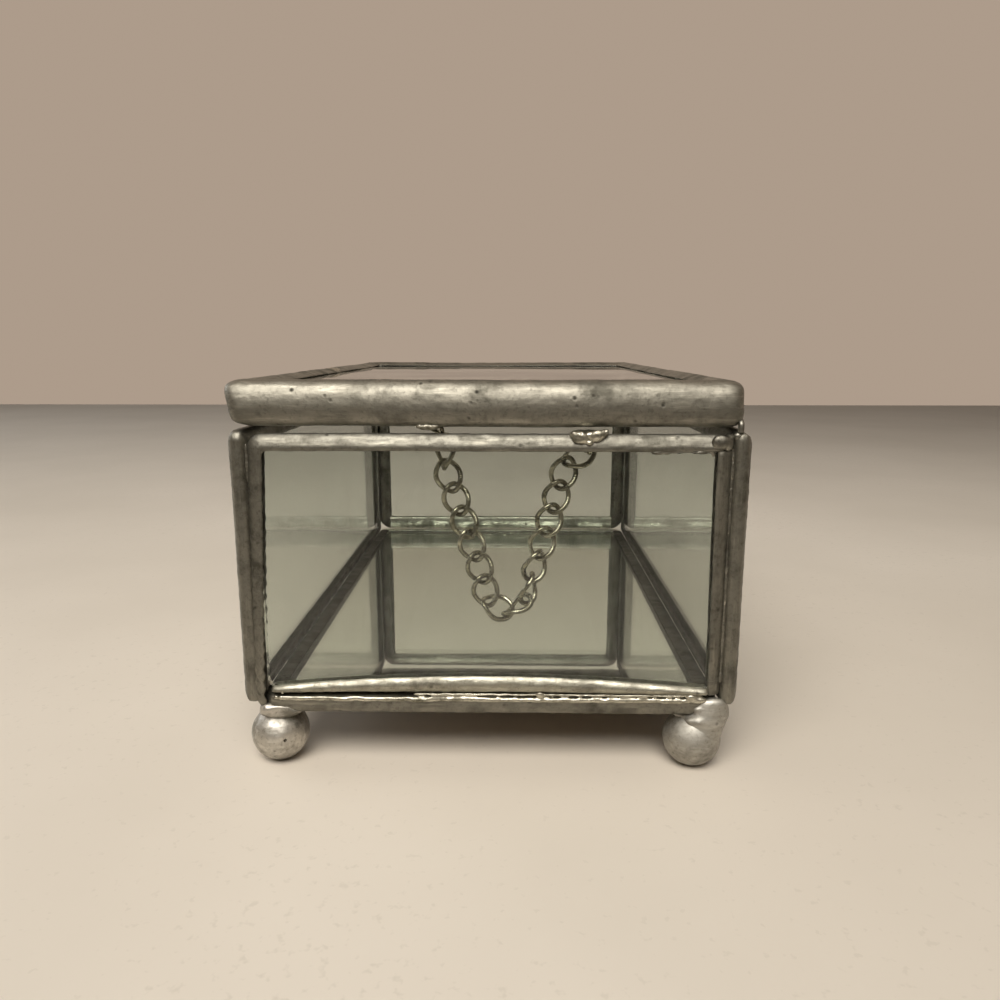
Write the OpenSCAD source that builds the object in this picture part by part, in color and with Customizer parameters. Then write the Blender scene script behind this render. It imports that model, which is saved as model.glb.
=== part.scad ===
// Keepsake box of framed glass panes on four ball feet, with a hinged glass lid and a chain stay.
// X runs across the box, Y from the front end (-) to the back end (+), Z up from the table.

/* [Case] */
// Width across the outer faces of the two side frames
case_w = 101.6; // [85:0.2:130]
// Length over the front and back frames
case_l = 152.4; // [120:0.2:200]
// Height of the side frames
side_h = 57.7; // [48:0.1:80]
// How far the side frames reach down past the top of the base frame
side_drop = 2.2; // [0.5:0.1:3]
// How much lower the front and back frames stop than the side frames
end_step = 0.7; // [0.3:0.1:1.5]

/* [Strip round the panes] */
// Thickness of the strip across the glass
strip_t = 3.4; // [3.2:0.1:4]
// Depth of the strip over the edge of the glass
strip_f = 3.6; // [3.4:0.1:4.4]
// Wall of the strip beside the glass
strip_wall = 0.55; // [0.4:0.05:0.6]
// Radius of the strip's rounded back edges
strip_r = 1.3; // [0.8:0.1:1.5]
// Thickness of the side, front and back panes
glass_t = 2.2; // [1.8:0.1:2.2]
// How far a pane sits inside its strip
glass_in = 2.4; // [1.6:0.1:2.6]
// Rise of the bowed lower front strip at the middle of its length
bow_rise = 2.6; // [0.5:0.1:3]
// Height of the bowed lower front strip at its middle
bow_f = 4.8; // [3.8:0.1:5]

/* [Base] */
// Thickness of the base frame
base_t = 4.2; // [4:0.1:5]
// Thickness of the mirror glass
mirror_t = 2.8; // [2:0.1:2.8]
// Thickness of the silvering and its backing paint
silvering_t = 0.2; // [0.1:0.05:0.2]

/* [Lid] */
// Height of the hollow lid strip at its thickest
lid_h = 9.3; // [8:0.1:12]
// Depth of the lid strip from its back to its lips
lid_f = 6; // [5.5:0.1:8]
// Thickness of the lid strip at its lips
lid_lip_t = 5.8; // [5.6:0.1:7]
// Wall of the lid strip
lid_wall = 0.8; // [0.6:0.05:0.85]
// Radius of the bulge of the lid strip's back
bulge_r = 6.3; // [6:0.1:9]
// Thickness of the lid pane
lid_glass_t = 4; // [3:0.1:4]
// How far the lid pane sits inside its strip
lid_glass_in = 4; // [2.5:0.1:4.4]
// Gap between the closed lid and the side frames
lid_gap = 0.3; // [0.2:0.05:0.6]
// How far the lid stands in from the outer face on its opening side
open_step = 0.1; // [0:0.1:1]
// How far the lid stands in from the outer face on its hinge side
hinge_step = 2.2; // [2.2:0.1:4]

/* [Hinge] */
// Outer diameter of the hinge tube
tube_d = 2.4; // [2.2:0.1:3]
// Diameter of the hinge rod
rod_d = 1.2; // [1:0.1:1.4]
// Running clearance between the rod and the tube, on the radius
hinge_clear = 0.08; // [0.04:0.01:0.1]
// How far the hinge line stands out from the lid's side
hinge_out = 0.5; // [0.4:0.1:0.9]
// How far the tube stops short of each end of the case
tube_short = 4.7; // [3.5:0.1:20]
// Radius of the rod's bent ends
rod_bend = 1; // [0.8:0.1:1.5]
// How far the rod's bent ends stand in from the ends of the case
rod_in = 0.9; // [0.7:0.1:1.2]

/* [Feet] */
// Diameter of the ball feet
foot_d = 12.1; // [10:0.1:16]
// Depth of the flat worn on the bottom of each ball
foot_flat = 0.1; // [0.05:0.01:0.3]
// Distance of the outer pair of feet from the side faces
foot_side_a = 5.6; // [4:0.1:12]
// Distance of the inner pair of feet from the side faces
foot_side_b = 7.7; // [7:0.1:14]
// Distance of the outer pair of feet from the ends
foot_end_a = 4.3; // [4:0.1:12]
// Distance of the inner pair of feet from the ends
foot_end_b = 3.3; // [2:0.1:12]
// Radius of the solder collar on top of each foot
collar_r = 3.2; // [2.5:0.1:4]

/* [Chain] */
// Diameter of the chain wire
wire_d = 1.08; // [0.8:0.01:1.1]
// Length of a link between the middles of its end wires
link_l = 6.7; // [6.6:0.05:7.5]
// Width of a link between the middles of its side wires
link_w = 5; // [4.6:0.05:6]
// How far a link's wire swings out of its plane
link_twist = 0.75; // [0.7:0.01:0.9]
// Distance from link to link along the chain
link_pitch = 5.15; // [5:0.01:5.2]
// Distance across the two slack links at the bottom of the loop
slack_pitch = 4.85; // [4.6:0.01:5]
// Distance of the chain behind the front face
chain_in = 7.9; // [7.7:0.1:9]
// Distance of the chain hook from the middle of the box, towards the hinge
hook_x = 20.1; // [10:0.1:24]
// Depth of the chain hook below the top of the front frame
hook_drop = 4.2; // [4:0.1:6]

/* [Hidden] */
link_count = 17;

// Heights, from the table up
foot_top = foot_d - foot_flat;
base_z = foot_top;
base_top = base_z + base_t;
side_z = base_top - side_drop;
side_top = side_z + side_h;
end_top = side_top - end_step;
end_h = end_top - base_top;
lid_z = side_top + lid_gap;
lid_mid = lid_z + lid_h / 2;

// Widths and lengths
end_w = case_w - 2 * strip_t;
lid_x0 = -case_w / 2 + open_step;
lid_x1 = case_w / 2 - hinge_step;
lid_w = lid_x1 - lid_x0;
lid_cx = (lid_x0 + lid_x1) / 2;
end_y = case_l / 2 - strip_t / 2;
side_x = case_w / 2 - strip_t / 2;

// Channels: a little wider than the glass, and as deep as the wall leaves
slot_t = strip_t - 2 * strip_wall;
base_slot_t = base_t - 2 * strip_wall;
edge_in = strip_f - glass_in;
lid_edge_in = lid_f - lid_glass_in;
lid_r = 1.1;
slot_f = strip_f - strip_wall;

// Hinge line
hinge_x = lid_x1 + hinge_out;
hinge_z = lid_z + tube_d / 2 + 0.1;
tube_l = case_l - 2 * tube_short;
rod_y = case_l / 2 - rod_in;
rod_foot = side_top - 0.6;

// Chain: headings are angles in the plane of the loop, from the hook to the lid
chain_y = -case_l / 2 + chain_in;
hook_z = end_top - hook_drop;
hook_clear = 0.12;
headings = [208, 254, 254, 254, 254, 254, 259, 213, 154, 98, 108, 108, 108, 108, 108, 87, 126];
rolls = [30, 0, 0, 0, 0, -30, -60, -100, -140, -180, -180, -180, -180, -180, -180, -225, -246];
link_segments = 20;
link_sides = 8;

function heading(i) = [cos(headings[i]), sin(headings[i])];
function is_slack(i) = i == 7 || i == 8;
function half_pitch(i) = (is_slack(i) ? slack_pitch : link_pitch) / 2;
function lead(i) = i == 0 ? link_l / 2 - wire_d - hook_clear : half_pitch(i);
function pivot(i) = i == 0 ? [hook_x, hook_z]
    : pivot(i - 1) + (lead(i - 1) + half_pitch(i - 1)) * heading(i - 1);
function link_centre(i) = pivot(i) + lead(i) * heading(i);

lid_end = pivot(link_count - 1);
blob_centre = link_centre(link_count - 1) + 2.4 * heading(link_count - 1);

// Filled outline of a strip: x from its lips to its back, y across the glass
module strip_filled(f = strip_f, t = strip_t) {
    translate([0, -t / 2]) square([f - strip_r, t]);
    translate([0, strip_r - t / 2]) square([f, t - 2 * strip_r]);
    for (s = [-1, 1])
        translate([f - strip_r, s * (t / 2 - strip_r)]) circle(r = strip_r, $fn = 48);
}

// Outline of a strip with the channel for the glass
module strip_outline(f = strip_f, t = strip_t, slot = slot_t) {
    difference() {
        strip_filled(f, t);
        translate([-1, -slot / 2]) square([1 + f - strip_wall, slot]);
    }
}

// Outline of the hollow lid strip, with a bulging back and tapered lips
module lid_outline_solid(shrink) {
    h = lid_h / 2 - shrink;
    f = lid_f - shrink;
    lip = lid_lip_t / 2 - shrink;
    r = lid_r - shrink / 2;
    intersection() {
        translate([f - bulge_r + shrink / 2, 0]) circle(r = bulge_r - shrink / 2, $fn = 128);
        union() {
            polygon([[0, -lip], [2.6, -h], [f - 0.35 - r, -h], [f - 0.35 - r, h], [2.6, h], [0, lip]]);
            translate([2.6, r - h]) square([f - 2.6, 2 * (h - r)]);
            for (s = [-1, 1])
                translate([f - 0.35 - r, s * (h - r)]) circle(r = r, $fn = 48);
        }
    }
}

module lid_outline() {
    difference() {
        lid_outline_solid(0);
        lid_outline_solid(lid_wall);
        translate([-1, -lid_glass_t / 2 - 0.05]) square([1 + lid_f / 2, lid_glass_t + 0.1]);
    }
}

// A straight run along Y of the outline given, with its back towards +X
module run(len) {
    rotate([90, 0, 0]) linear_extrude(len, center = true) children();
}

// A quarter turn of the outline given about the inner corner, from +X to +Y
module turn() {
    rotate_extrude(angle = 90, $fn = 96) children();
}

// A strip bent right round a pane of w by h that lies in XY
module bent_frame(w, h, f) {
    for (k = [0:3]) {
        reach = (k % 2 == 0 ? w : h) / 2 - f;
        len = (k % 2 == 0 ? h : w) - 2 * f;
        rotate(90 * k) translate([reach, 0, 0]) {
            run(len) children();
            translate([0, len / 2, 0]) turn() children();
        }
    }
}

// A pane with rounded corners that lies in XY
module pane(w, h, t, r) {
    linear_extrude(t, center = true) {
        square([w - 2 * r, h], center = true);
        square([w, h - 2 * r], center = true);
        for (x = [-1, 1], y = [-1, 1])
            translate([x * (w / 2 - r), y * (h / 2 - r)]) circle(r = r, $fn = 48);
    }
}

// Stands a piece drawn in XY upright in the front (-1) or back (1) frame
module stand_end(s) {
    translate([0, s * end_y, base_top + end_h / 2]) rotate([90, 0, 0]) children();
}

// Stands a piece drawn in XY upright in the left (-1) or right (1) frame
module stand_side(s) {
    translate([s * side_x, 0, side_z + side_h / 2]) rotate([90, 0, 90]) children();
}

module end_pane(s) {
    color([0.80, 0.90, 0.87, 0.35])
        stand_end(s) pane(end_w - 2 * edge_in, end_h - 2 * edge_in, glass_t, glass_in);
}

module side_pane(s) {
    color([0.80, 0.90, 0.87, 0.35])
        stand_side(s) pane(case_l - 2 * edge_in, side_h - 2 * edge_in, glass_t, glass_in);
}

// The mirror and its silvering fill the channel of the base frame
base_mid = base_z + base_t / 2;
mirror_bottom = base_mid - (mirror_t + silvering_t) / 2;

module base_mirror() {
    color([0.75, 0.86, 0.83, 0.6])
        translate([0, 0, mirror_bottom + silvering_t + mirror_t / 2])
            pane(end_w - 2 * edge_in, case_l - 2 * edge_in, mirror_t, glass_in);
}

module base_silvering() {
    color("silver")
        translate([0, 0, mirror_bottom + silvering_t / 2])
            pane(end_w - 2 * edge_in, case_l - 2 * edge_in, silvering_t, glass_in);
}

// Front frame: one strip bent over the left top corner, a straight one on the right,
// and a bowed one soldered between them
module front_strip_left_top() {
    top_l = end_w - 2 * strip_f;
    color("darkgray") stand_end(-1) {
        translate([0, end_h / 2 - strip_f, 0]) rotate(90) run(top_l) strip_outline();
        translate([-top_l / 2, end_h / 2 - strip_f, 0]) rotate(90) turn() strip_outline();
        translate([-top_l / 2, -strip_f / 2, 0]) rotate(180) run(end_h - strip_f) strip_outline();
    }
}

module front_strip_right() {
    color("darkgray") stand_end(-1)
        translate([end_w / 2 - strip_f, 0, 0]) run(end_h) strip_outline();
}

module front_strip_bottom() {
    len = end_w - 2 * strip_f;
    bow_r = (pow(len / 2, 2) + pow(bow_rise, 2)) / (2 * bow_rise);
    color("darkgray") stand_end(-1) intersection() {
        translate([0, bow_f - end_h / 2, 0]) rotate(-90) run(len) strip_outline(bow_f);
        translate([0, bow_f - end_h / 2 - bow_r, 0])
            cylinder(r = bow_r, h = 2 * strip_t, center = true, $fn = 720);
    }
}

module back_strip() {
    color("darkgray") stand_end(1) bent_frame(end_w, end_h, strip_f) strip_outline();
}

module side_strip(s) {
    color("dimgray") stand_side(s) bent_frame(case_l, side_h, strip_f) strip_outline();
}

module base_strip() {
    color("darkgray") translate([0, 0, base_mid])
        bent_frame(end_w, case_l, strip_f) strip_outline(strip_f, base_t, base_slot_t);
}

// Solder run along the joint between the lower front strip and the base frame
module front_seam_solder() {
    bead = 0.55;
    color("silver")
        translate([0, bead - case_l / 2, base_top]) rotate([0, 90, 0])
            linear_extrude(end_w - 2 * strip_f - 2, center = true) difference() {
                circle(r = bead, $fn = 48);
                translate([-2, bead - 0.3]) square([4, 4]);
                translate([-strip_r, strip_r - bead]) circle(r = strip_r, $fn = 96);
                translate([strip_r, strip_r - bead]) circle(r = strip_r, $fn = 96);
            }
}

// Solder in the groove between an end frame and a side frame
module seam_solder(sx, sy) {
    bead = 0.8;
    low = base_top + strip_f;
    high = end_top - strip_f;
    color("silver") translate([0, 0, low]) linear_extrude(high - low)
        scale([sx, sy]) translate([case_w / 2 - strip_t, case_l / 2 - bead]) difference() {
            circle(r = bead, $fn = 48);
            translate([0, -2]) square([4, 2 + bead - strip_r]);
            translate([strip_r, bead - strip_r]) circle(r = strip_r, $fn = 96);
            translate([-4, -2]) square([4, 2 + bead - strip_r]);
            translate([-strip_r, bead - strip_r]) circle(r = strip_r, $fn = 96);
        }
}

// Feet, named by corner: the outer pair stands at front left and back right
function foot_x(sx, sy) = sx * (case_w / 2 - (sx == sy ? foot_side_a : foot_side_b));
function foot_y(sx, sy) = sy * (case_l / 2 - (sx == sy ? foot_end_a : foot_end_b));
foot_mid = foot_d / 2 - foot_flat;

module foot(sx, sy) {
    color("lightgray") translate([foot_x(sx, sy), foot_y(sx, sy), 0]) intersection() {
        translate([0, 0, foot_mid]) sphere(d = foot_d, $fn = 96);
        translate([0, 0, foot_d / 2]) cube([2 * foot_d, 2 * foot_d, foot_d], center = true);
    }
}

// Solder collar between a foot and the base frame
module foot_solder(sx, sy) {
    drop = 1.6;
    color("silver") translate([foot_x(sx, sy), foot_y(sx, sy), 0]) difference() {
        translate([0, 0, foot_top - drop]) cylinder(r1 = collar_r, r2 = collar_r + 0.8, h = drop, $fn = 64);
        translate([0, 0, foot_mid]) sphere(d = foot_d, $fn = 96);
        cylinder(r = 1, h = 2 * foot_d, $fn = 48);
    }
}

// The front right foot is also held by a neck of solder that runs down from the corner
module neck_foot_solder() {
    drop = 1.6;
    neck_r = 2.3;
    neck_low = 8.6;
    color("silver") translate([foot_x(1, -1), foot_y(1, -1), 0]) difference() {
        union() {
            translate([0, 0, foot_top - drop])
                cylinder(r1 = collar_r, r2 = collar_r + 0.8, h = drop, $fn = 64);
            translate([0, -foot_end_b, neck_low])
                cylinder(r = neck_r, h = base_top - 0.4 - neck_low, $fn = 64);
        }
        translate([0, 0, foot_mid]) sphere(d = foot_d, $fn = 96);
        translate([-foot_d / 2, -foot_end_b, base_z]) cube(foot_d);
        cylinder(r = 1, h = foot_d, $fn = 48);
    }
}

// Hinge rod: a wire along the right side, with its ends bent down into the corners
module hinge_rod() {
    color("gray") translate([hinge_x, 0, hinge_z]) {
        rotate([90, 0, 0])
            cylinder(d = rod_d, h = 2 * (rod_y - rod_bend), center = true, $fn = 48);
        for (s = [-1, 1]) translate([0, s * (rod_y - rod_bend), -rod_bend]) {
            rotate([0, 0, 90 * s]) rotate([90, 0, 0])
                rotate_extrude(angle = 90, $fn = 96) translate([rod_bend, 0]) circle(d = rod_d, $fn = 48);
            translate([0, s * rod_bend, rod_foot - hinge_z + rod_bend])
                cylinder(d = rod_d, h = hinge_z - rod_bend - rod_foot, $fn = 48);
        }
    }
}

// Solder that holds one end of the rod on the corner of the right side frame
module hinge_solder(s) {
    color("silver") difference() {
        translate([hinge_x + 0.3, s * (rod_y - 0.3), rod_foot - 0.6]) sphere(r = 1.5, $fn = 48);
        translate([hinge_x, s * rod_y, rod_foot]) cylinder(d = rod_d, h = 6, $fn = 48);
        stand_side(1) translate([s * (case_l / 2 - strip_f), side_h / 2 - strip_f, 0])
            rotate_extrude($fn = 96) strip_filled();
        translate([case_w / 2 - strip_t - 4, -case_l, 0]) cube([4, 2 * case_l, 2 * side_top]);
    }
}

// Wire hook on the inner face of the front frame that carries the first link
module chain_hook() {
    shank_y = -case_l / 2 + strip_t + wire_d / 2;
    tip_y = chain_y + 2.1;
    color("silver") {
        translate([hook_x, shank_y, hook_z]) {
            cylinder(d = wire_d, h = end_top - 0.5 - hook_z, $fn = 32);
            sphere(d = wire_d, $fn = 48);
            rotate([-90, 0, 0]) cylinder(d = wire_d, h = tip_y - shank_y, $fn = 48);
        }
        translate([hook_x, tip_y, hook_z]) sphere(d = 1.7 * wire_d, $fn = 48);
    }
}

// Lump of solder that wraps the top strip of the front frame at the chain hook
module chain_hook_solder() {
    r = 0.8;
    front = -case_l / 2;
    back = front + strip_t + wire_d;
    color("silver") difference() {
        hull() for (p = [[-4.2, front + 0.8, 0], [-2.4, front + 0.2, -1.5], [1.2, front + 0.2, -1.6],
                         [3, front + 1, 0], [1, back - r, -0.6], [-1.6, back - r, -0.4]])
            translate([hook_x - 0.4 + p[0], p[1], end_top + 0.7 - r + p[2]]) sphere(r = r, $fn = 16);
        stand_end(-1) translate([0, end_h / 2 - strip_f, 0]) rotate(90) run(end_w) strip_filled();
        translate([-case_w / 2, front - 4, end_top - strip_f - 4]) cube([case_w, 5 + strip_t, 4.6]);
        translate([hook_x, front + strip_t + wire_d / 2, hook_z])
            cylinder(d = wire_d, h = end_top - 0.5 - hook_z, $fn = 32);
    }
}

// Lid
module lid_glass() {
    color([0.80, 0.90, 0.87, 0.35]) translate([lid_cx, 0, lid_mid])
        pane(lid_w - 2 * lid_edge_in, case_l - 2 * lid_edge_in, lid_glass_t, lid_glass_in);
}

module lid_strip() {
    color("gray") translate([lid_cx, 0, lid_mid]) bent_frame(lid_w, case_l, lid_f) lid_outline();
}

// Solder over the butt joint of the lid strip, halfway along the opening side
module lid_joint_solder() {
    bead = 2.2;
    color("silver") difference() {
        for (k = [0:3])
            translate([lid_x0 + 2.75, 1.9 * k - 0.6, lid_z + lid_h + 0.35 - bead])
                sphere(r = bead, $fn = 64);
        translate([lid_x0 + lid_f, 0, lid_mid]) rotate(180) run(30) lid_outline_solid(0);
        translate([lid_x0, -15, lid_z]) cube([lid_f, 30, lid_h / 2]);
    }
}

module hinge_tube() {
    color("gray") translate([hinge_x, 0, hinge_z]) rotate([90, 0, 0]) difference() {
        cylinder(d = tube_d, h = tube_l, center = true, $fn = 64);
        cylinder(d = rod_d + 2 * hinge_clear, h = tube_l + 2, center = true, $fn = 64);
    }
}

// Solder between the tube and the lid strip, in three places (k is -1, 0 or 1)
module hinge_tube_solder(k) {
    len = 9;
    color("silver") difference() {
        translate([hinge_x - tube_d / 2, k * (tube_l / 2 - len / 2 - 3), hinge_z + 0.3])
            rotate([90, 0, 0]) cylinder(r = 0.8, h = len, center = true, $fn = 48);
        translate([hinge_x, 0, hinge_z]) rotate([90, 0, 0])
            cylinder(d = tube_d, h = case_l, center = true, $fn = 64);
        translate([lid_x1 - lid_f, 0, lid_mid]) run(case_l) lid_outline_solid(0);
    }
}

// Solder that holds the last link under the front edge of the lid
module lid_chain_solder() {
    lip_y = -case_l / 2 + lid_f;
    lip_z = lid_mid - lid_lip_t / 2;
    color("silver") difference() {
        hull() {
            for (p = [[-1.9, -0.4, -0.1], [0.2, 0.5, 0], [-0.8, -1.9, -0.9]])
                translate([blob_centre[0] + p[0], lip_y + p[1], lip_z + p[2]]) sphere(r = 0.8, $fn = 16);
            translate([blob_centre[0], chain_y, blob_centre[1] - 0.8]) sphere(r = 1.1, $fn = 16);
        }
        translate([lid_cx, -case_l / 2 + lid_f, lid_mid]) rotate(-90) run(lid_w) lid_outline_solid(0);
        translate([lid_x0, -case_l / 2, lid_mid - lid_glass_t / 2]) cube([lid_w, case_l, lid_glass_t]);
    }
}

// Chain link: a wire along a twisted oval, swept with a round section
function wire_point(t) = [link_l / 2 * cos(t), link_w / 2 * sin(t), link_twist * sin(2 * t)];
function wire_way(t) = let (v = [-link_l / 2 * sin(t), link_w / 2 * cos(t), 2 * link_twist * cos(2 * t)])
    v / norm(v);
function unit(v) = v / norm(v);
function ring(t) = let (w = wire_way(t), a = unit(cross(w, [0, 0, 1])), b = cross(a, w))
    [for (k = [0:link_sides - 1]) let (u = 360 * (k + 0.5) / link_sides)
        wire_point(t) + wire_d / 2 * (cos(u) * a + sin(u) * b)];

module link_wire() {
    points = [for (i = [0:link_segments - 1]) each ring(360 * i / link_segments)];
    n = link_sides;
    total = link_segments * n;
    faces = [for (i = [0:link_segments - 1], k = [0:n - 1], half = [0, 1])
        let (a = i * n + k, b = i * n + (k + 1) % n, c = (a + n) % total, d = (b + n) % total)
            half == 0 ? [a, b, d] : [a, d, c]];
    polyhedron(points, faces, convexity = 6);
}

module chain_link(i) {
    c = link_centre(i);
    color("silver") translate([c[0], chain_y, c[1]]) rotate([90, 0, 0])
        rotate([0, 0, headings[i]]) rotate([rolls[i], 0, 0]) link_wire();
}

end_pane(-1);  // front_glass
end_pane(1);  // back_glass
side_pane(-1);  // left_glass
side_pane(1);  // right_glass
base_mirror();
base_silvering();
front_strip_left_top();
front_strip_right();
front_strip_bottom();
back_strip();
side_strip(-1);  // left_strip
side_strip(1);  // right_strip
base_strip();
front_seam_solder();
seam_solder(-1, -1);  // seam_solder_front_left
seam_solder(1, -1);  // seam_solder_front_right
seam_solder(-1, 1);  // seam_solder_back_left
seam_solder(1, 1);  // seam_solder_back_right
foot(-1, -1);  // foot_front_left
foot(1, -1);  // foot_front_right
foot(-1, 1);  // foot_back_left
foot(1, 1);  // foot_back_right
foot_solder(-1, -1);  // foot_solder_front_left
neck_foot_solder();  // foot_solder_front_right
foot_solder(-1, 1);  // foot_solder_back_left
foot_solder(1, 1);  // foot_solder_back_right
hinge_rod();
hinge_solder(-1);  // hinge_solder_front
hinge_solder(1);  // hinge_solder_back
chain_hook();
chain_hook_solder();
lid_glass();
lid_strip();
lid_joint_solder();
hinge_tube();
hinge_tube_solder(-1);  // hinge_tube_solder_front
hinge_tube_solder(0);  // hinge_tube_solder_middle
hinge_tube_solder(1);  // hinge_tube_solder_back
lid_chain_solder();
for (i = [1:link_count])
    chain_link(i - 1);
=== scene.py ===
import math
import random
import bpy
from mathutils import Matrix, Vector


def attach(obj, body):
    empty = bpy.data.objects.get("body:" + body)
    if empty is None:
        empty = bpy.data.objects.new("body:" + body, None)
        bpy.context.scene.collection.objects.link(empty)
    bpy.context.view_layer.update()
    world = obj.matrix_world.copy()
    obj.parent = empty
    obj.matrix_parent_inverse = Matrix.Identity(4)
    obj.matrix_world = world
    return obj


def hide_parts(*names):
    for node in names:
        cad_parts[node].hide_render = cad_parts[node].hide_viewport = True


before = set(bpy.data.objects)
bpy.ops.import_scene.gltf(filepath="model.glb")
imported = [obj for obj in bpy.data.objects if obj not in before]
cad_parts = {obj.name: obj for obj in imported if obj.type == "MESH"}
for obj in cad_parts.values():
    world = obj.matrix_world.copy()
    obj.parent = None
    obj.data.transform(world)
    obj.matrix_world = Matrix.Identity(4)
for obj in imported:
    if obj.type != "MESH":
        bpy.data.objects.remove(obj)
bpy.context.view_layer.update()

mm = 0.001
crease = math.radians(50)  # edges sharper than this stay sharp
random.seed(11)
print("frame loaded:", len(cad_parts), "nodes")


stage = {"eye": (4.85, -227.2, 88.0), "tilt": 78.7, "turn": 0.97, "lens": 28.08, "sensor": 36,
         "floor": (0.84, 0.755, 0.645), "floorSpeck": (0.62, 0.55, 0.45), "floorBack": 0.93,
         "floorFront": 1.6, "floorWidth": 5.0, "floorRough": 0.5, "floorShine": 0.3, "speckScale": 420.0,
         "stainScale": 9.0, "wall": (0.418, 0.330, 0.258), "wallHigh": (0.64, 0.55, 0.44),
         "reflectedFloorShade": (0.16, 0.14, 0.11), "frontLow": (0.19, 0.162, 0.128), "frontHigh": (0.50, 0.44, 0.36),
         "fillLight": (0.80, 0.79, 0.78, 0.05)}
lamps = {"keySoftbox": {"spot": (-0.12, -0.64, 0.86), "turn": (36.5, 0, -11), "size": (1.05, 0.6),
                        "power": 2.75, "spread": 70, "tint": (1.0, 0.96, 0.90)},
         "windowLeft": {"spot": (-1.05, 0.35, 0.50), "turn": (70, 0, -108), "size": (0.7, 0.6),
                        "power": 2.5, "spread": 180, "tint": (0.90, 0.95, 1.0)}}


def addNode(tree, kind, values=None, **settings):  # one shader node with its inputs set or linked
    made = tree.nodes.new(kind)
    for key, value in settings.items():
        setattr(made, key, value)
    for key, value in (values or {}).items():
        feed(tree, made.inputs[key], value)
    return made


def feed(tree, socket, value):
    if isinstance(value, bpy.types.NodeSocket):
        tree.links.new(value, socket)
    else:
        socket.default_value = value


def ownSpace(tree):
    return addNode(tree, "ShaderNodeTexCoord").outputs["Object"]


def noise(tree, where, scale=1.0, detail=3.0, rough=0.5, stretch=None):
    if stretch:
        where = addNode(tree, "ShaderNodeMapping", {"Vector": where, "Scale": stretch}).outputs[0]
    return addNode(tree, "ShaderNodeTexNoise", {"Vector": where, "Scale": scale, "Detail": detail,
                                                "Roughness": rough}).outputs["Fac"]


def cells(tree, where, scale):
    return addNode(tree, "ShaderNodeTexVoronoi", {"Vector": where, "Scale": scale}).outputs["Distance"]


def span(tree, value, low, high, lowOut=0.0, highOut=1.0):
    return addNode(tree, "ShaderNodeMapRange", {"Value": value, "From Min": low, "From Max": high,
                                                "To Min": lowOut, "To Max": highOut}).outputs[0]


def sums(tree, kind, a, b):
    return addNode(tree, "ShaderNodeMath", {0: a, 1: b}, operation=kind).outputs[0]


def times(tree, a, b):
    return sums(tree, "MULTIPLY", a, b)


def blend(tree, factor, a, b):
    made = addNode(tree, "ShaderNodeMix", {"Factor": factor}, data_type="RGBA")
    for label, value in (("A", a), ("B", b)):
        socket = [s for s in made.inputs if s.name == label and s.type == "RGBA"][0]
        feed(tree, socket, value)
    return [s for s in made.outputs if s.type == "RGBA"][0]


def relief(tree, shader, height, strength, depth):
    made = addNode(tree, "ShaderNodeBump", {"Height": height, "Strength": strength, "Distance": depth})
    feed(tree, shader.inputs["Normal"], made.outputs["Normal"])


def newPaint(name):
    paint = bpy.data.materials.new(name)
    paint.use_nodes = True
    return paint, paint.node_tree, paint.node_tree.nodes["Principled BSDF"]


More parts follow.
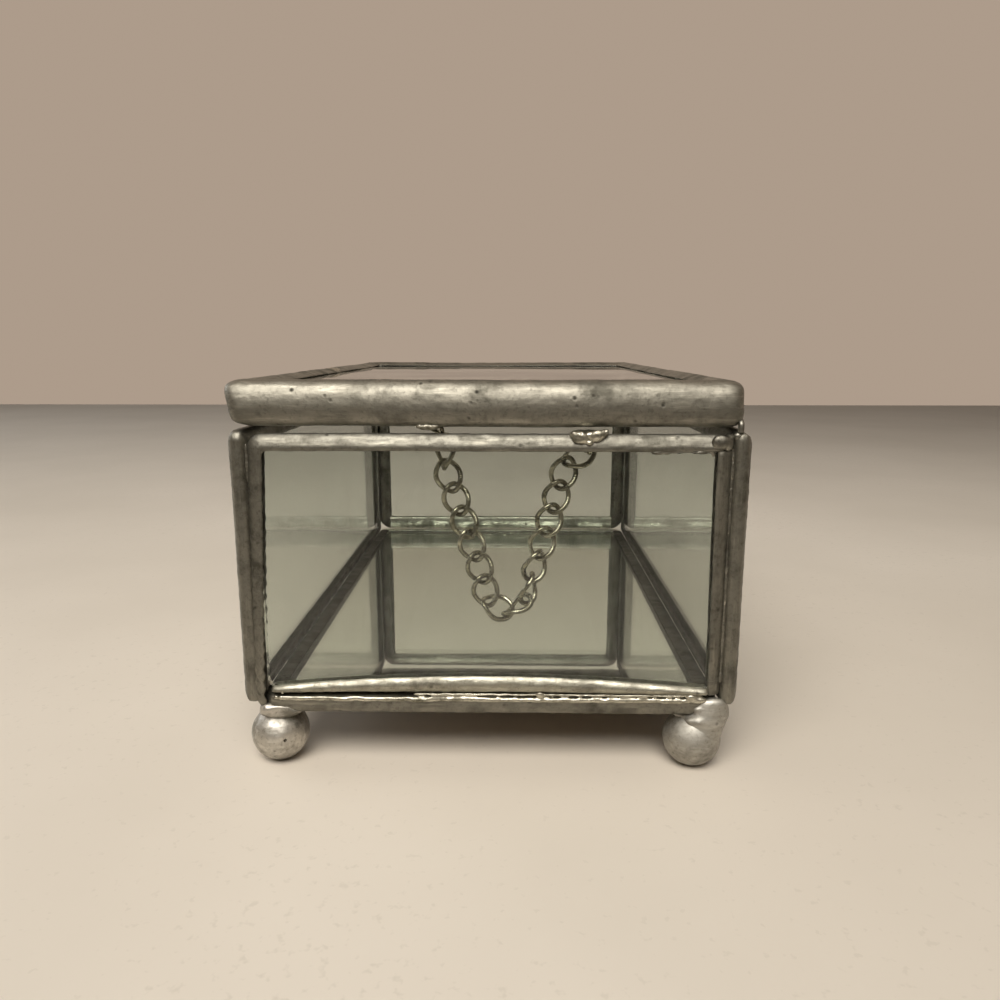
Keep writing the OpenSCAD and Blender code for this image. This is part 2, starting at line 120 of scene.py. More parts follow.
def setStage():
    bpy.ops.object.camera_add(location=[v * mm for v in stage["eye"]],
                              rotation=(math.radians(stage["tilt"]), 0, math.radians(stage["turn"])))
    eye = bpy.context.active_object
    eye.data.lens = stage["lens"]
    eye.data.sensor_width = stage["sensor"]
    eye.data.clip_start = 0.01
    bpy.context.scene.camera = eye
    middle = (stage["floorBack"] - stage["floorFront"]) / 2
    bpy.ops.mesh.primitive_plane_add(size=1, location=(0, middle, 0))
    floor = bpy.context.active_object
    floor.name = "studioFloor"
    floor.scale = (stage["floorWidth"], stage["floorBack"] + stage["floorFront"], 1)
    applyPlace(floor)
    paint, tree, shader = newPaint("paleFloor")
    shader.inputs["Roughness"].default_value = stage["floorRough"]
    shader.inputs["Specular IOR Level"].default_value = stage["floorShine"]
    where = ownSpace(tree)
    speck = span(tree, noise(tree, where, stage["speckScale"], 2.0, 0.7), 0.56, 0.70)
    cloud = span(tree, noise(tree, where, stage["stainScale"], 4.0), 0.3, 0.7, 0.0, 0.35)
    stain = sums(tree, "MAXIMUM", times(tree, speck, 0.4), cloud)
    color = blend(tree, stain, (*stage["floor"], 1), (*stage["floorSpeck"], 1))
    # painted shade: the floor in front is darkened only where metal reflects it, standing in for the dim room
    # in front of the box
    ahead = span(tree, addNode(tree, "ShaderNodeSeparateXYZ", {0: where}).outputs["Y"], -0.12, -0.30)
    glossy = addNode(tree, "ShaderNodeLightPath").outputs["Is Glossy Ray"]
    color = blend(tree, times(tree, ahead, glossy), color, (*stage["reflectedFloorShade"], 1))
    feed(tree, shader.inputs["Base Color"], color)
    floor.data.materials.append(paint)
    for name, lamp in lamps.items():
        bpy.ops.object.light_add(type="AREA", location=lamp["spot"],
                                 rotation=[math.radians(v) for v in lamp["turn"]])
        light = bpy.context.active_object
        light.name = name
        light.data.shape = "RECTANGLE"
        light.data.size, light.data.size_y = lamp["size"]
        light.data.energy = lamp["power"]
        light.data.spread = math.radians(lamp["spread"])
        light.data.color = lamp["tint"]
    world = bpy.data.worlds.new("studio")
    bpy.context.scene.world = world
    world.use_nodes = True
    tree = world.node_tree
    tree.nodes.clear()
    # polished metal sees a dim room in front, and the panes show a paler wall higher up
    where = ownSpace(tree)
    way = addNode(tree, "ShaderNodeSeparateXYZ", {0: where}).outputs
    front = blend(tree, span(tree, way["Z"], 0.10, 0.65), (*stage["frontLow"], 1), (*stage["frontHigh"], 1))
    soft = addNode(tree, "ShaderNodeBackground", {"Color": (*stage["fillLight"][:3], 1),
                                                  "Strength": stage["fillLight"][3]})
    path = addNode(tree, "ShaderNodeLightPath")
    ahead = times(tree, span(tree, way["Y"], 0.20, -0.30), path.outputs["Is Glossy Ray"])
    above = times(tree, span(tree, way["Z"], 0.20, 0.40), path.outputs["Is Transmission Ray"])
    behind = blend(tree, above, (*stage["wall"], 1), (*stage["wallHigh"], 1))
    seen = addNode(tree, "ShaderNodeBackground", {"Color": blend(tree, ahead, behind, front)})
    shown = sums(tree, "MAXIMUM", path.outputs["Is Camera Ray"], path.outputs["Is Glossy Ray"])
    shown = sums(tree, "MAXIMUM", shown, path.outputs["Is Transmission Ray"])
    mixed = addNode(tree, "ShaderNodeMixShader", {0: shown, 1: soft.outputs[0], 2: seen.outputs[0]})
    addNode(tree, "ShaderNodeOutputWorld", {"Surface": mixed.outputs[0]})
    bpy.context.scene.view_settings.view_transform = "Standard"


def pick(piece):
    bpy.ops.object.select_all(action="DESELECT")
    piece.select_set(True)
    bpy.context.view_layer.objects.active = piece


def applyPlace(piece):
    pick(piece)
    bpy.ops.object.transform_apply(location=True, rotation=True, scale=True)


def editMesh(piece, kind="VERT", action="SELECT"):
    pick(piece)
    bpy.ops.object.mode_set(mode="EDIT")
    bpy.ops.mesh.select_mode(type=kind)
    bpy.ops.mesh.select_all(action=action)


def leaveMesh():
    bpy.ops.object.mode_set(mode="OBJECT")


def choose(piece, kind, test):  # selects the vertices or faces that pass a test
    editMesh(piece, kind, "DESELECT")
    leaveMesh()
    for part in piece.data.vertices if kind == "VERT" else piece.data.polygons:
        part.select = bool(test(part))
    bpy.ops.object.mode_set(mode="EDIT")


def closeMesh(piece, merge=0.00001):  # doubles merged and faces turned outwards
    editMesh(piece)
    bpy.ops.mesh.remove_doubles(threshold=merge)
    bpy.ops.mesh.normals_make_consistent(inside=False)
    leaveMesh()


def cutEvenly(piece, way, middle, length, count):  # even cuts across a piece, square to an axis
    editMesh(piece)
    for index in range(1, count):
        spot = (middle + length * (index / count - 0.5)) * mm
        bpy.ops.mesh.select_all(action="SELECT")
        bpy.ops.mesh.bisect(plane_co=[v * spot for v in way], plane_no=way)
    leaveMesh()


def slab(name, middle, wide, long, low, high, cuts):  # a flat sheet with cuts both ways
    bpy.ops.mesh.primitive_cube_add(size=mm, location=(middle * mm, 0, (low + high) / 2 * mm),
                                    scale=(wide, long, high - low))
    piece = bpy.context.active_object
    piece.name = name
    applyPlace(piece)
    cutEvenly(piece, (1, 0, 0), middle, wide, cuts)
    cutEvenly(piece, (0, 1, 0), 0, long, cuts)
    return piece


def useModifier(piece, kind, **settings):
    pick(piece)
    bpy.ops.object.modifier_add(type=kind)
    added = piece.modifiers[-1]
    for key, value in settings.items():
        setattr(added, key, value)
    bpy.ops.object.modifier_apply(modifier=added.name)


def cloudTexture(size, depth=2):
    cloud = bpy.data.textures.new("handwork", "CLOUDS")
    cloud.noise_scale = size
    cloud.noise_depth = depth
    return cloud


def handwork(piece, lumps=(), sway=0.0, swaySize=0.03, rounds=0):
    if rounds:
        useModifier(piece, "SUBSURF", levels=rounds, render_levels=rounds)
    for strength, size in lumps:
        useModifier(piece, "DISPLACE", texture=cloudTexture(size * mm), strength=strength * mm,
                    mid_level=0.5)
    for axis, stretch in (("X", 1.0), ("Y", 1.21), ("Z", 0.87)) if sway else ():
        useModifier(piece, "DISPLACE", texture=cloudTexture(swaySize * stretch, 0), direction=axis,
                    strength=sway * mm, mid_level=0.5)


def finishPiece(piece, body, material, node):
    pick(piece)
    bpy.ops.object.shade_smooth_by_angle(angle=crease)
    piece.data.materials.clear()
    piece.data.materials.append(material)
    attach(piece, body)
    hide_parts(node)


def traceOutline(name, points):  # a closed outline drawn point by point
    bpy.ops.mesh.primitive_plane_add(size=mm, location=(0, 0, 0))
    piece = bpy.context.active_object
    piece.name = name
    editMesh(piece)
    bpy.ops.mesh.merge(type="CENTER")
    here = Vector((0, 0, 0))
    for index, point in enumerate(list(points) + [points[0]]):
        step = Vector(point) * mm - here
        if index:
            bpy.ops.mesh.extrude_region_move(TRANSFORM_OT_translate={"value": step})
        else:
            bpy.ops.transform.translate(value=step)
        here = Vector(point) * mm
    bpy.ops.mesh.select_all(action="SELECT")
    bpy.ops.mesh.remove_doubles(threshold=0.000001)
    bpy.ops.mesh.select_all(action="SELECT")
    return piece


def sweep(name, section, spot, heading, legs, pitch, closed=False, cornerSteps=8):
    turn = math.radians(heading)  # a leg is ("run", length) or ("bend", angle, radius)
    points = [(spot[0] + out * math.cos(turn), spot[1] + out * math.sin(turn), across)
              for out, across in section]
    piece = traceOutline(name, points)
    if not closed:
        bpy.ops.mesh.edge_face_add()  # the near end is closed
        bpy.ops.mesh.select_all(action="SELECT")
    place = Vector((*spot, 0))
    for kind, amount, *radius in legs:
        way = Vector((-math.sin(math.radians(heading)), math.cos(math.radians(heading)), 0))
        if kind == "run":
            steps = max(2, round(amount / pitch))
            bpy.ops.mesh.extrude_repeat(steps=steps, offset=way * (amount / steps * mm))
            place += way * amount
        else:
            side = Vector((-way.y, way.x, 0)) * math.copysign(1, amount)
            centre = place + side * (radius[0] if radius else 0)
            bpy.ops.mesh.spin(steps=cornerSteps, angle=math.radians(-amount), center=centre * mm,
                              axis=(0, 0, 1))
            place = centre + Matrix.Rotation(math.radians(amount), 3, "Z") @ (place - centre)
            heading += amount
    leaveMesh()
    return piece


def markRun(piece, wide, tall, deep):  # keeps length along, depth and height of the strip
    a, c, bend = wide / 2 - deep, tall / 2 - deep, math.pi / 2 * deep * 0.6
    spans = [2 * c, bend, 2 * a, bend, 2 * c, bend, 2 * a, bend]
    values = []
    for vertex in piece.data.vertices:
        x, y, z = (v / mm for v in vertex.co)
        if abs(y) <= c or abs(x) > a and deep > abs(x) - a and abs(y) > tall / 2:
            along = y + c if x > 0 else sum(spans[:4]) + c - y
        elif abs(x) <= a:
            along = sum(spans[:2]) + a - x if y > 0 else sum(spans[:6]) + x + a
        else:
            corner = (0 if x > 0 else 1) if y > 0 else (2 if x < 0 else 3)
            part = math.atan2(abs(y) - c, abs(x) - a) / (math.pi / 2)
            along = sum(spans[:2 * corner + 1]) + bend * (part if corner % 2 == 0 else 1 - part)
        values += [along * mm, (max(abs(x) - a, abs(y) - c)) * mm, z * mm]
    mark = piece.data.attributes.new("run", "FLOAT_VECTOR", "POINT")
    mark.data.foreach_set("vector", values)


def turned(angle, axis):
    return Matrix.Rotation(math.radians(angle), 4, axis)


def stand(piece, plane, spot):  # turns a strip drawn flat into its own plane
    turns = {"flat": Matrix.Identity(4), "front": turned(90, "X"), "side": turned(90, "Z") @ turned(90, "X")}
    piece.matrix_world = Matrix.Translation([v * mm for v in spot]) @ turns[plane]
    applyPlace(piece)


def newGroup(name, takes, gives):  # the sockets are listed under their kinds
    group = bpy.data.node_groups.new(name, "ShaderNodeTree")
    for way, sockets in (("INPUT", takes), ("OUTPUT", gives)):
        for kind, labels in sockets.items():
            for label in labels:
                group.interface.new_socket(label, in_out=way, socket_type="NodeSocket" + kind)
    return group, group.nodes.new("NodeGroupInput").outputs, group.nodes.new("NodeGroupOutput").inputs


rubbing = {"patch": 55.0, "grain": 1500.0, "pit": 560.0, "pitPlace": 210.0, "rub": (120, 900, 900),
           "hair": (220, 5200, 5200), "nicks": (4200, 420, 420), "pitColor": (0.015, 0.014, 0.012, 1),
           "depth": 0.12}


def makeRubbedMetal():  # mottled, streaked and pitted soft metal
    takes = {"Vector": ["where"], "Color": ["metal", "tarnish", "shine"],
             "Float": ["mottle", "streaks", "pits", "grain", "rough"]}
    tree, given, result = newGroup("rubbedMetal", takes, {"Color": ["color"], "Float": ["rough", "height"]})
    where = given["where"]
    cloud = noise(tree, where, given["mottle"], 6.0, 0.66)
    patch = noise(tree, where, rubbing["patch"], 4.0, 0.6)
    rub = noise(tree, where, 1.0, 3.0, 0.6, stretch=rubbing["rub"])
    hair = noise(tree, where, 1.0, 2.0, 0.5, stretch=rubbing["hair"])
    nicks = noise(tree, where, 1.0, 2.0, 0.5, stretch=rubbing["nicks"])
    grain = noise(tree, where, rubbing["grain"], 4.0, 0.62)
    pit = span(tree, cells(tree, where, rubbing["pit"]), 0.10, 0.30, 1.0, 0.0)
    pitPlace = span(tree, noise(tree, where, rubbing["pitPlace"], 2.0), 0.54, 0.66)
    pits = times(tree, times(tree, pit, pitPlace), given["pits"])
    dark = times(tree, span(tree, cloud, 0.42, 0.62), span(tree, patch, 0.36, 0.60, 0.2, 1.0))
    worn = times(tree, span(tree, rub, 0.50, 0.70), span(tree, patch, 0.62, 0.42))
    hairs = times(tree, span(tree, hair, 0.62, 0.74), given["streaks"])
    scuffs = times(tree, span(tree, nicks, 0.66, 0.78), span(tree, patch, 0.50, 0.62))
    scuffs = times(tree, scuffs, given["streaks"])
    color = blend(tree, dark, given["metal"], given["tarnish"])
    color = blend(tree, span(tree, grain, 0.54, 0.68, 0.0, 0.5), color, given["tarnish"])
    color = blend(tree, times(tree, worn, 0.45), color, given["shine"])
    color = blend(tree, times(tree, hairs, 0.35), color, given["shine"])
    color = blend(tree, times(tree, scuffs, 0.6), color, given["tarnish"])
    color = blend(tree, pits, color, blend(tree, 0.6, given["tarnish"], rubbing["pitColor"]))
    rough = sums(tree, "ADD", given["rough"], times(tree, dark, 0.18))
    rough = sums(tree, "ADD", rough, times(tree, worn, -0.08))
    rough = sums(tree, "ADD", rough, times(tree, pits, 0.2))
    height = sums(tree, "ADD", times(tree, cloud, 1.3), times(tree, rub, 0.22))
    height = sums(tree, "ADD", height, times(tree, grain, given["grain"]))
    height = sums(tree, "SUBTRACT", height, times(tree, pits, 0.8))
    height = sums(tree, "SUBTRACT", height, times(tree, scuffs, 0.15))
    height = sums(tree, "ADD", height, times(tree, hairs, 0.06))
    for label, value in (("color", color), ("rough", rough), ("height", height)):
        feed(tree, result[label], value)
    return tree


def metalFinish(name, recipe, follow=False):
    paint, tree, shader = newPaint(name)
    shader.inputs["Metallic"].default_value = 1.0
    if follow:  # streaks run along the strip
        where = addNode(tree, "ShaderNodeAttribute", attribute_name="run").outputs["Vector"]
    else:
        where = ownSpace(tree)
    wear = addNode(tree, "ShaderNodeGroup", {"where": where}, node_tree=rubbedMetal)
    for key in ("metal", "tarnish", "shine"):
        feed(tree, wear.inputs[key], (*recipe[key], 1))
    for key in ("mottle", "streaks", "pits", "grain", "rough"):
        feed(tree, wear.inputs[key], recipe[key])
    feed(tree, shader.inputs["Base Color"], wear.outputs["color"])
    feed(tree, shader.inputs["Roughness"], wear.outputs["rough"])
    relief(tree, shader, wear.outputs["height"], recipe["bump"], rubbing["depth"] * mm)
    return paint


def glassFinish(name, tint, wave, haze):  # slightly wavy, with faint smears and specks
    paint, tree, shader = newPaint(name)
    shader.inputs["Transmission Weight"].default_value = 1.0
    shader.inputs["IOR"].default_value = 1.5
    where = ownSpace(tree)
    smear = noise(tree, where, 45.0, 4.0, 0.6)
    speck = span(tree, cells(tree, where, 420.0), 0.03, 0.09, 1.0, 0.0)
    color = blend(tree, span(tree, smear, 0.35, 0.75), (*tint, 1), (*[c * 0.96 for c in tint], 1))
    feed(tree, shader.inputs["Base Color"], color)
    dull = sums(tree, "ADD", span(tree, smear, 0.5, 0.8, 0.004, haze), times(tree, speck, haze * 2))
    feed(tree, shader.inputs["Roughness"], dull)
    ripple = noise(tree, where, detail=1.0, rough=0.4, stretch=(28, 28, 60))
    relief(tree, shader, ripple, wave, 0.4 * mm)
    return paint


def silverPaint():  # bright above, backing paint below
    paint, tree, shader = newPaint("silvering")
    where = ownSpace(tree)
    normal = addNode(tree, "ShaderNodeNewGeometry").outputs["Normal"]
    under = span(tree, addNode(tree, "ShaderNodeSeparateXYZ", {0: normal}).outputs["Z"], -0.4, -0.6)
    edge = span(tree, noise(tree, where, 90.0, 4.0, 0.6), 0.66, 0.78)
    backing = blend(tree, noise(tree, where, 30.0, 4.0, 0.6), (0.20, 0.17, 0.14, 1), (0.30, 0.27, 0.23, 1))
    bright = blend(tree, edge, (0.92, 0.93, 0.90, 1), (0.74, 0.75, 0.70, 1))
    feed(tree, shader.inputs["Base Color"], blend(tree, under, bright, backing))
    feed(tree, shader.inputs["Metallic"], span(tree, under, 0.0, 1.0, 1.0, 0.0))
    feed(tree, shader.inputs["Roughness"], span(tree, under, 0.0, 1.0, 0.015, 0.55))
    return paint


metals = {
    "stripPewter": {"metal": (0.225, 0.215, 0.182), "tarnish": (0.09, 0.085, 0.068),
                    "shine": (0.44, 0.42, 0.35), "mottle": 190.0, "streaks": 0.6, "pits": 0.7, "grain": 0.55,
                    "rough": 0.47, "bump": 0.6},
    "lidPewter": {"metal": (0.265, 0.251, 0.211), "tarnish": (0.105, 0.099, 0.08),
                  "shine": (0.46, 0.435, 0.365), "mottle": 150.0, "streaks": 0.7, "pits": 0.9, "grain": 0.6,
                  "rough": 0.47, "bump": 0.6},
    "brightSolder": {"metal": (0.54, 0.515, 0.43), "tarnish": (0.15, 0.14, 0.105),
                     "shine": (0.90, 0.86, 0.74), "mottle": 380.0, "streaks": 0.4, "pits": 0.9, "grain": 0.5,
                     "rough": 0.30, "bump": 0.6},
    "dullSolder": {"metal": (0.25, 0.24, 0.205), "tarnish": (0.09, 0.084, 0.068), "shine": (0.58, 0.55, 0.47),
                   "mottle": 420.0, "streaks": 0.4, "pits": 0.7, "grain": 0.5, "rough": 0.36, "bump": 0.6},
    "ballMetal": {"metal": (0.53, 0.505, 0.455), "tarnish": (0.17, 0.16, 0.132), "shine": (0.90, 0.88, 0.83),
                  "mottle": 150.0, "streaks": 0.2, "pits": 1.0, "grain": 0.7, "rough": 0.42, "bump": 0.7},
    "chainNickel": {"metal": (0.42, 0.39, 0.31), "tarnish": (0.10, 0.09, 0.06), "shine": (0.94, 0.90, 0.78),
                    "mottle": 460.0, "streaks": 0.3, "pits": 0.4, "grain": 0.12, "rough": 0.16, "bump": 0.3},
    "hingeMetal": {"metal": (0.22, 0.21, 0.18), "tarnish": (0.10, 0.095, 0.08), "shine": (0.50, 0.48, 0.42),
                   "mottle": 380.0, "streaks": 0.6, "pits": 0.5, "grain": 0.3, "rough": 0.42, "bump": 0.4},
    "matteBall": {"metal": (0.41, 0.395, 0.355), "tarnish": (0.20, 0.188, 0.16), "shine": (0.72, 0.70, 0.65),
                  "mottle": 150.0, "streaks": 0.2, "pits": 0.8, "grain": 0.5, "rough": 0.55, "bump": 0.6},
    # painted light: a lighter copy of the strip metal for the lower front strip
    "litStripPewter": {"metal": (0.40, 0.385, 0.32), "tarnish": (0.15, 0.14, 0.112), "shine": (0.74, 0.71, 0.60),
                   "mottle": 170.0, "streaks": 0.7, "pits": 0.7, "grain": 0.9, "rough": 0.40, "bump": 0.6},
    # dark flux, which also serves as painted shade in the gaps between the strips and panes
    "fluxAndGapShade": {"metal": (0.085, 0.08, 0.062), "tarnish": (0.05, 0.046, 0.036), "shine": (0.24, 0.22, 0.17),
                "mottle": 300.0, "streaks": 0.3, "pits": 0.8, "grain": 0.6, "rough": 0.55, "bump": 0.6},
    # painted reflection: a pale coat that stands in for the pale floor and mirror seen in the back strips
    "paleReflectionCoat": {"metal": (0.70, 0.69, 0.59), "tarnish": (0.42, 0.41, 0.34), "shine": (0.92, 0.90, 0.80),
               "mottle": 240.0, "streaks": 0.3, "pits": 0.6, "grain": 0.5, "rough": 0.50, "bump": 0.5}}

setStage()
print("stage set")
rubbedMetal = makeRubbedMetal()
metal = {name: metalFinish(name, recipe, name in ("stripPewter", "lidPewter"))
         for name, recipe in metals.items()}
glass = {"paneGlass": glassFinish("paneGlass", (0.815, 0.845, 0.81), 0.22, 0.05),
         "mirrorGlass": glassFinish("mirrorGlass", (0.965, 0.985, 0.965), 0.12, 0.02)}
silverFinish = silverPaint()
for name in ("front_glass", "back_glass", "left_glass", "right_glass", "base_mirror"):
    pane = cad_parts[name]
    pane.data.materials.clear()
    pane.data.materials.append(glass["mirrorGlass" if name == "base_mirror" else "paneGlass"])
print("finishes made")


silvering = {"wide": 92.4, "long": 150.0, "low": 12.6, "high": 12.82, "rim": 0.35, "swell": 0.03, "cuts": 48}


def makeSilvering():  # its top lies just inside the mirror glass
    s = silvering
    sheet = slab("silverSheet", 0, s["wide"], s["long"], s["low"], s["high"], s["cuts"])
    choose(sheet, "FACE", lambda face: face.normal.z < -0.9)
    bpy.ops.mesh.inset(thickness=s["rim"] * mm)  # the paint is thinner round its rim
    bpy.ops.transform.translate(value=(0, 0, -s["swell"] * mm))
    leaveMesh()
    closeMesh(sheet, 0.000002)
    finishPiece(sheet, "case", silverFinish, "base_silvering")


makeSilvering()
print("silvering made")


strips = {"thick": 3.4, "deep": 3.6, "wall": 0.55, "pitch": 1.4, "lumps": ((0.20, 2.2), (0.14, 0.8)),
          "sway": 0.22, "frontSway": 0.132, "caseHalfWidth": 47.8, "caseHalfLength": 76.2, "baseMiddle": 14.1,
          "baseThick": 4.2, "sidePlane": 49.6, "sideThick": 4.4, "sideFoot": 14.0, "sideTop": 71.7,
          "sideRounds": (1.1, 2.2), "shoulder": (49.5, 71.4), "shoulderSlope": 1.5,
          "endPlane": 74.5, "endHalfWidth": 48.2, "endFoot": 16.2, "endTop": 71.0, "backDeep": 5.0,
          "topLap": 1.6, "leftFoot": 4.3, "leftLean": 1.5, "tipFrom": 1.6, "tipMiddle": 2.0, "tipWide": 0.8,
          "tipRate": 0.25, "tipTall": 0.9, "tipThick": 0.8, "rightThin": 0.84, "rightShort": 3.0,
          "bowTall": 4.3, "bowEnds": 0.46, "bowLap": 1.0, "fluxShadeEdge": 45.2, "fluxShadeBack": 72.5, "fluxShadeLow": 14.6,
          "fluxShadeHigh": 18.2, "paleReflectionTop": 21.6, "paleReflectionEdge": 43.4}


def stripSection(thick, deep=strips["deep"]):  # a channel with its widest place near the lips
    half, inner = thick / 2, thick / 2 - strips["wall"]
    upper = [(2.55, 0.4 * inner), (2.55, inner - 0.12), (0.9, inner), (0.0, inner + 0.02), (0.0, half - 0.38),
             (0.05, half - 0.18), (0.25, half), (0.6, half + 0.08), (1.05, half + 0.03), (1.5, half - 0.12),
             (1.95, half - 0.32), (2.4, half - 0.54), (2.85, half - 0.84), (3.2, half - 1.17),
             (3.45, half - 1.5)]
    both = upper + [(out, -across) for out, across in reversed(upper)]
    return [(out * deep / strips["deep"], across) for out, across in both]


def bluntSection(thick):  # the same channel with a squarer back
    half, inner = thick / 2, thick / 2 - strips["wall"]
    upper = [(3.05, 0.45 * inner), (3.05, inner), (0.9, inner), (0.0, inner + 0.02), (0.0, half - 0.36),
             (0.12, half - 0.20), (0.6, half - 0.08), (1.3, half), (2.3, half - 0.02), (2.85, half - 0.12),
             (3.2, half - 0.34), (3.45, half - 0.70), (3.58, half - 1.2)]
    return upper + [(out, -across) for out, across in reversed(upper)]


def bowSection():  # bulges forward between its lip and its back
    front = [(0.0, 1.32), (0.08, 1.52), (0.35, 1.84), (0.75, 2.1), (1.2, 2.3), (1.65, 2.38), (2.05, 2.3),
             (2.4, 2.1), (2.7, 1.8), (2.9, 1.45), (3.1, 1.05), (3.35, 0.7), (3.5, 0.35)]
    back = [(3.5, -0.35), (3.2, -0.85), (2.6, -1.35), (1.6, -1.7), (0.4, -1.6), (0.0, -1.32), (0.0, -1.17),
            (2.55, -1.1)]
    stretch = strips["bowTall"] / strips["deep"]
    return [(out * stretch, across) for out, across in [(2.55, 1.1), (0.0, 1.17)] + front + back]


def closedFrame(name, wide, tall, section, deep, pitch, rounds=None):
    a, c = wide / 2 - deep, tall / 2 - deep
    legs = [("run", 2 * c), ("bend", 90), ("run", 2 * a), ("bend", 90)] * 2
    piece = sweep(name, section, (a, -c), 0, legs, pitch, closed=True, cornerSteps=14 if rounds else 8)
    closeMesh(piece)
    for sx, sy in ((-1, -1), (1, -1), (1, 1), (-1, 1)) if rounds else ():
        squareCorner(piece, sx, sy, a, c, deep, rounds[0] if sy < 0 else rounds[1])
    markRun(piece, wide, tall, deep)
    return piece


def squareCorner(piece, sx, sy, a, c, deep, cornerRound):
    for vertex in piece.data.vertices:
        x, y = sx * vertex.co.x / mm - a, sy * vertex.co.y / mm - c
        if x > 0.0001 and y > 0.0001:
            reach, turn = math.hypot(x, y), math.atan2(y, x)
            soft = cornerRound * reach / deep  # the round shrinks in step with the reach
            flat, low, high = reach - soft, min(x, y) / reach, max(x, y) / reach
            push = reach / high
            if push * low > flat:
                push = flat * (low + high) + math.sqrt(flat ** 2 * (2 * low * high - 1) + soft ** 2)
            vertex.co.x += sx * (push - reach) * math.cos(turn) * mm
            vertex.co.y += sy * (push - reach) * math.sin(turn) * mm


def makeStripFrame(name, plane, wide, tall, spot, section, node, deep=strips["deep"], rounds=None):
    piece = closedFrame(name, wide, tall, section, deep, strips["pitch"], rounds)
    stand(piece, plane, spot)
    handwork(piece, strips["lumps"], strips["sway"], rounds=1)
    finishPiece(piece, "case", metal["stripPewter"], node)
    return piece


def coatFaces(piece, coat, chosen):  # a second coat on the faces picked by place or normal
    piece.data.materials.append(metal[coat])
    for face in piece.data.polygons:
        if chosen(face.center / mm, face.normal):
            face.material_index = len(piece.data.materials) - 1


def makeStrips():
    s = strips
    endMiddle, endTall = (s["endFoot"] + s["endTop"]) / 2, s["endTop"] - s["endFoot"]
    sideMiddle, sideTall = (s["sideFoot"] + s["sideTop"]) / 2, s["sideTop"] - s["sideFoot"]
    wide, long, endWide = 2 * s["caseHalfWidth"], 2 * s["caseHalfLength"], 2 * s["endHalfWidth"]
    base = makeStripFrame("baseStrip", "flat", wide, long, (0, 0, s["baseMiddle"]),
                          bluntSection(s["baseThick"]), "base_strip")
    # a dark flux coat on the base strip's upper and inner faces, which also paints the shade in the gap under
    # the panes
    coatFaces(base, "fluxAndGapShade", lambda place, normal: place.y < s["fluxShadeBack"]
              and (normal.z > 0.5 or abs(place.x) < s["fluxShadeEdge"] and place.y > -s["fluxShadeBack"]))
    # painted reflection: the upper faces of the base strip at the back are coated pale, for the pale floor
    # and mirror they reflect
    coatFaces(base, "paleReflectionCoat", lambda place, normal: place.y >= s["fluxShadeBack"] and normal.z > 0.5)
    back = makeStripFrame("backStrip", "front", endWide, endTall, (0, s["endPlane"], endMiddle),
                          stripSection(s["thick"], s["backDeep"]), "back_strip", s["backDeep"])
    # painted reflection: the back strip's lower rail is coated pale, for the pale floor and mirror it
    # reflects
    coatFaces(back, "paleReflectionCoat", lambda place, normal: place.z < s["paleReflectionTop"] and normal.y < 0.2
              and abs(place.x) < s["paleReflectionEdge"])
    for side, sign in (("left", -1), ("right", 1)):
        piece = makeStripFrame(side + "Strip", "side", long, sideTall, (sign * s["sidePlane"], 0, sideMiddle),
                               stripSection(s["sideThick"]), side + "_strip", rounds=s["sideRounds"])
        # the same dark coat low on the inner faces of the side strips: flux that also paints the shade in the
        # corner above the base strip
        coatFaces(piece, "fluxAndGapShade", lambda place, normal: sign * normal.x < 0.3
                  and s["fluxShadeLow"] < place.z < s["fluxShadeHigh"] and abs(place.y) < s["fluxShadeBack"])
    # the right one's shoulder is flattened, clear of the open lid
    flat, top = s["shoulder"]
    for vertex in piece.data.vertices:
        vertex.co.x = min(vertex.co.x, (flat + max(0, top - vertex.co.z / mm) * s["shoulderSlope"]) * mm)
    # the front frame is three lengths: one bent over the left top corner, one upright and one below
    section, deep = stripSection(s["thick"]), s["deep"]
    edge, top = s["endHalfWidth"], endTall / 2
    a, c, tip = edge - deep, top - deep, -top - s["tipFrom"]
    legs = [("run", 2 * a + s["topLap"]), ("bend", 90), ("run", 2 * c + deep + s["leftFoot"])]
    piece = sweep("frontStripLeftTop", section, (a + s["topLap"], c), 90, legs, s["pitch"])
    shapeRings(piece, 1, lambda y: (s["tipWide"] - s["tipRate"] * (tip - y), s["tipTall"], s["tipThick"]),
               (s["tipMiddle"] - edge, None, 0), lambda y: y < tip)
    leanRings(piece, lambda y: -s["leftLean"] * (c - y) / (c + top), lambda y: y < c)
    finishLength(piece, endWide, endTall, endMiddle, "front_strip_left_top")
    legs = [("run", endTall - s["rightShort"])]
    piece = sweep("frontStripRight", section, (a, -top), 0, legs, s["pitch"])
    shapeRings(piece, 1, lambda y: (edgeBlend(s["rightThin"], y, top), 1, 1), (edge, None, 0))
    finishLength(piece, endWide, endTall, endMiddle, "front_strip_right")
    start, legs = (-a - s["bowLap"], s["bowTall"] - top), [("run", 2 * (a + s["bowLap"]))]
    piece = sweep("frontStripBottom", bowSection(), start, -90, legs, s["pitch"])
    shapeRings(piece, 0, lambda x: (1, s["bowEnds"] + (1 - s["bowEnds"]) * max(0, 1 - (x / a) ** 2), 1),
               (None, -top, 0))
    finishLength(piece, endWide, endTall, endMiddle, "front_strip_bottom")
    # the lower front strip takes the lighter copy of the strip metal, painted light for the key light it
    # catches
    piece.data.materials[0] = metal["litStripPewter"]


def edgeBlend(thin, y, top):  # full width at the top, thinner towards the foot
    return thin + (1 - thin) * min(1, max(0, (y + top) / (1.6 * top)))


def rings(piece, axis, test):  # the stops along an axis that hold vertices
    stops = {round(vertex.co[axis] / mm, 3) for vertex in piece.data.vertices}
    return [stop for stop in sorted(stops) if test(stop)]


